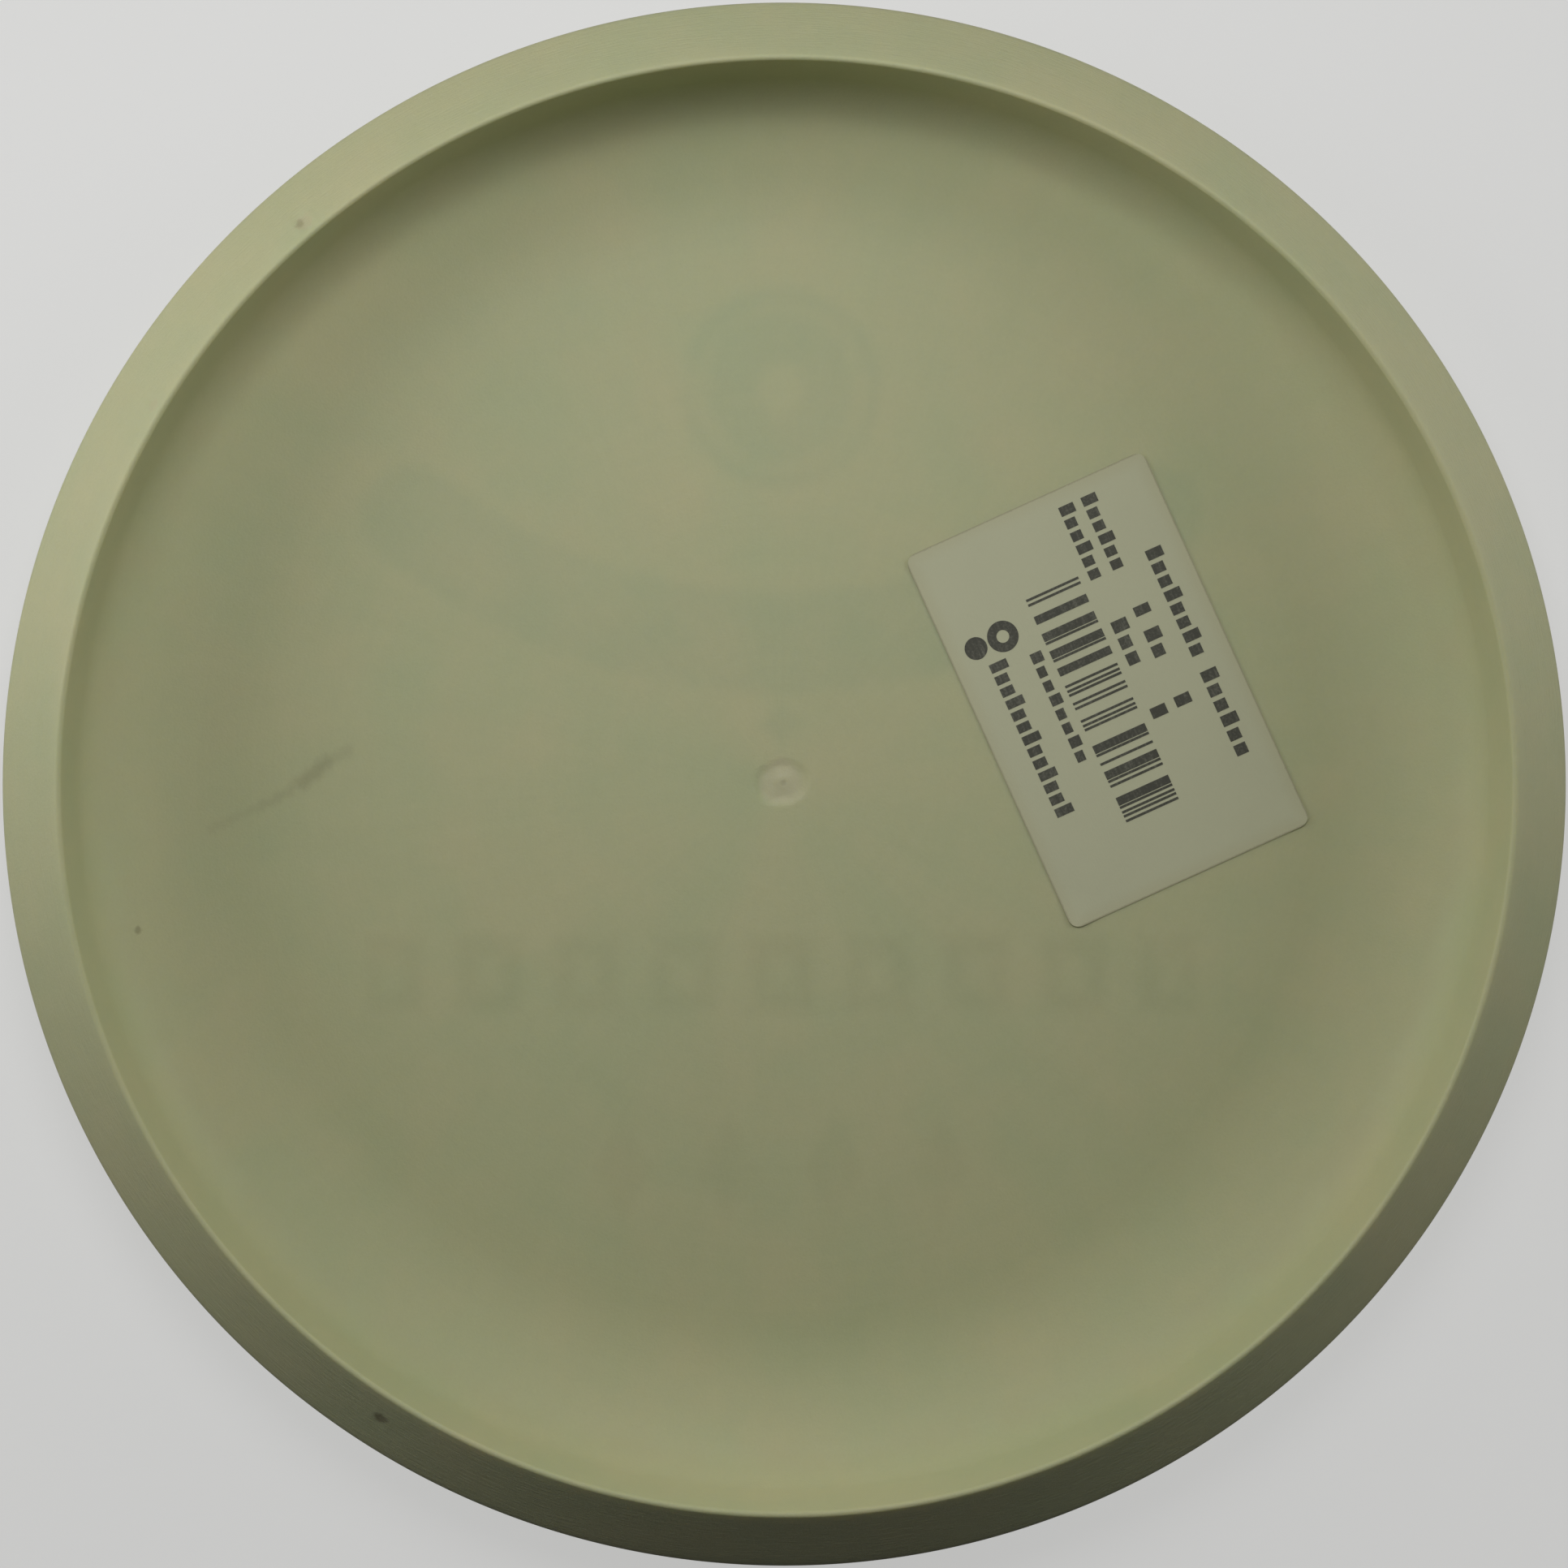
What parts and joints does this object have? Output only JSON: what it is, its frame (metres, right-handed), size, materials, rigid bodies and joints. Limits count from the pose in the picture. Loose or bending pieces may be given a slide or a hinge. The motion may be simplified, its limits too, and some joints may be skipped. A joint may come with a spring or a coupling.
{
  "type": "flying disc",
  "caption": "Round flying disc of putter shape with a flat plate, straight conical rim underside, foil stamps on the crown and a paper price label in the hollow.",
  "frame": {"origin": "centre of the crown, the flat outer face of the flight plate, on which the disc lies on its back", "axes": "+Z along the axis of the disc, from the crown to the open hollow; +Y from the centre to the round badge of the stamp; +X to the side where the price label is. In flight the disc is turned over, so -Z is up."},
  "size_m": [0.212, 0.212, 0.02],
  "materials": {
    "disc_plastic": "matt, slightly translucent, scuffed by use",
    "foil_teal": "hot-stamped film, satin",
    "foil_dark": "hot-stamped film, satin",
    "label_paper": "uncoated thermal paper",
    "label_ink": "matt print"
  },
  "bodies": {
    "root": {"disc_body": "disc_plastic", "stamp_badge": "foil_teal", "stamp_band": "foil_teal", "stamp_diamond": "foil_teal", "stamp_row": "foil_dark", "stamp_lozenges": "foil_dark", "price_label": "label_paper", "label_barcode": "label_ink", "label_writing": "label_ink", "label_dots": "label_ink"}
  },
  "joints": []
}
